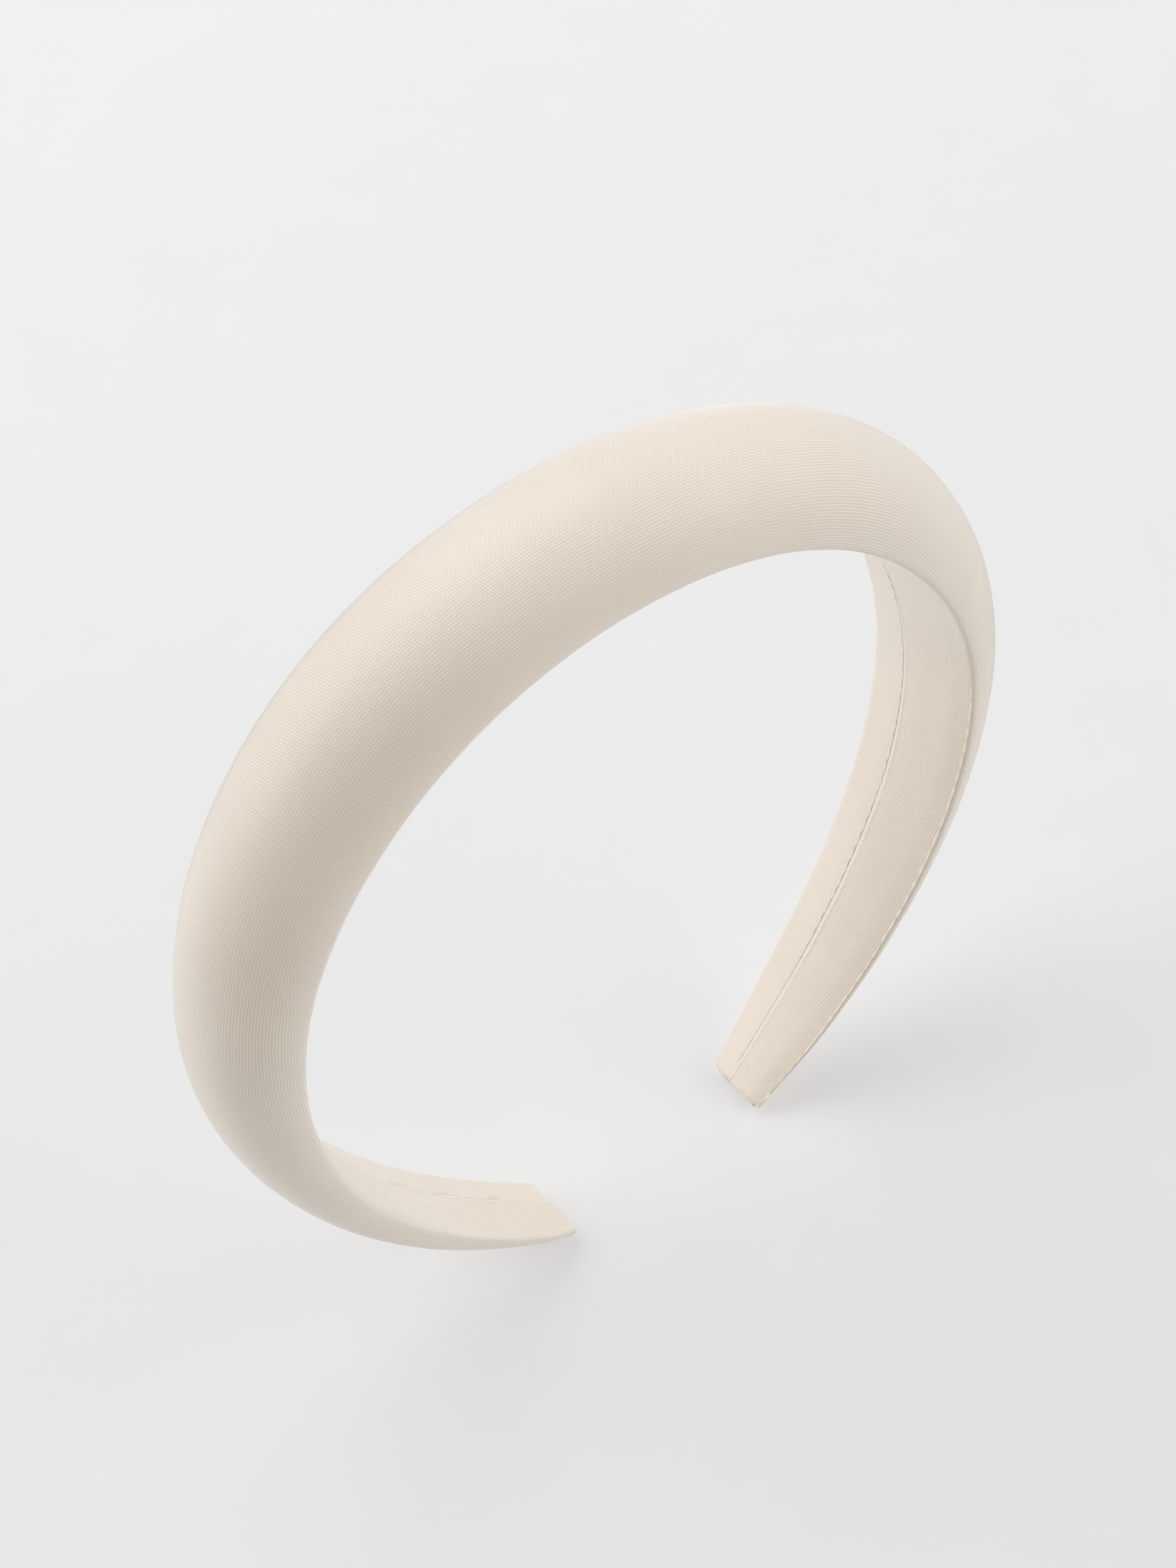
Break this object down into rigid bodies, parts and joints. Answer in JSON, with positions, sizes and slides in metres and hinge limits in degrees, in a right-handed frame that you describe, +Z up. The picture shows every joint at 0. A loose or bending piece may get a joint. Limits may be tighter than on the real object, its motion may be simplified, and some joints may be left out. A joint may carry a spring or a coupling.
{
  "type": "padded headband",
  "caption": "Padded satin headband: an open C-shaped band with a springy core under a domed foam pad, narrowing to flat tips, that spreads to grip the head.",
  "frame": {"origin": "centre of the bounding box at its base: midway between the tips, on the surface that they stand on", "axes": "+X across the head, +Y along the band's width towards its back edge, +Z up to the crown; left (-X) and right (+X) are as seen from the front edge (-Y)"},
  "size_m": [0.1438, 0.0276, 0.155],
  "materials": {
    "satin": "satin",
    "foam": "matte",
    "core": "satin",
    "tape": "gloss",
    "thread": "matte"
  },
  "bodies": {
    "left_half": {"core_left": "core", "tape_left": "tape", "pad_left": "foam", "cover_left": "satin", "seam_thread_left": "thread", "end_tab_left": "satin"},
    "right_half": {"core_right": "core", "tape_right": "tape", "pad_right": "foam", "cover_right": "satin", "seam_thread_right": "thread", "end_tab_right": "satin"}
  },
  "joints": [
    {"name": "crown_flex", "type": "hinge", "parent": "left_half", "child": "right_half", "pos_m": [0, 0, 0.155], "axis": [0, -1, 0], "range_deg": [0, 30], "stiffness_Nm_per_rad": 0.2}
  ]
}
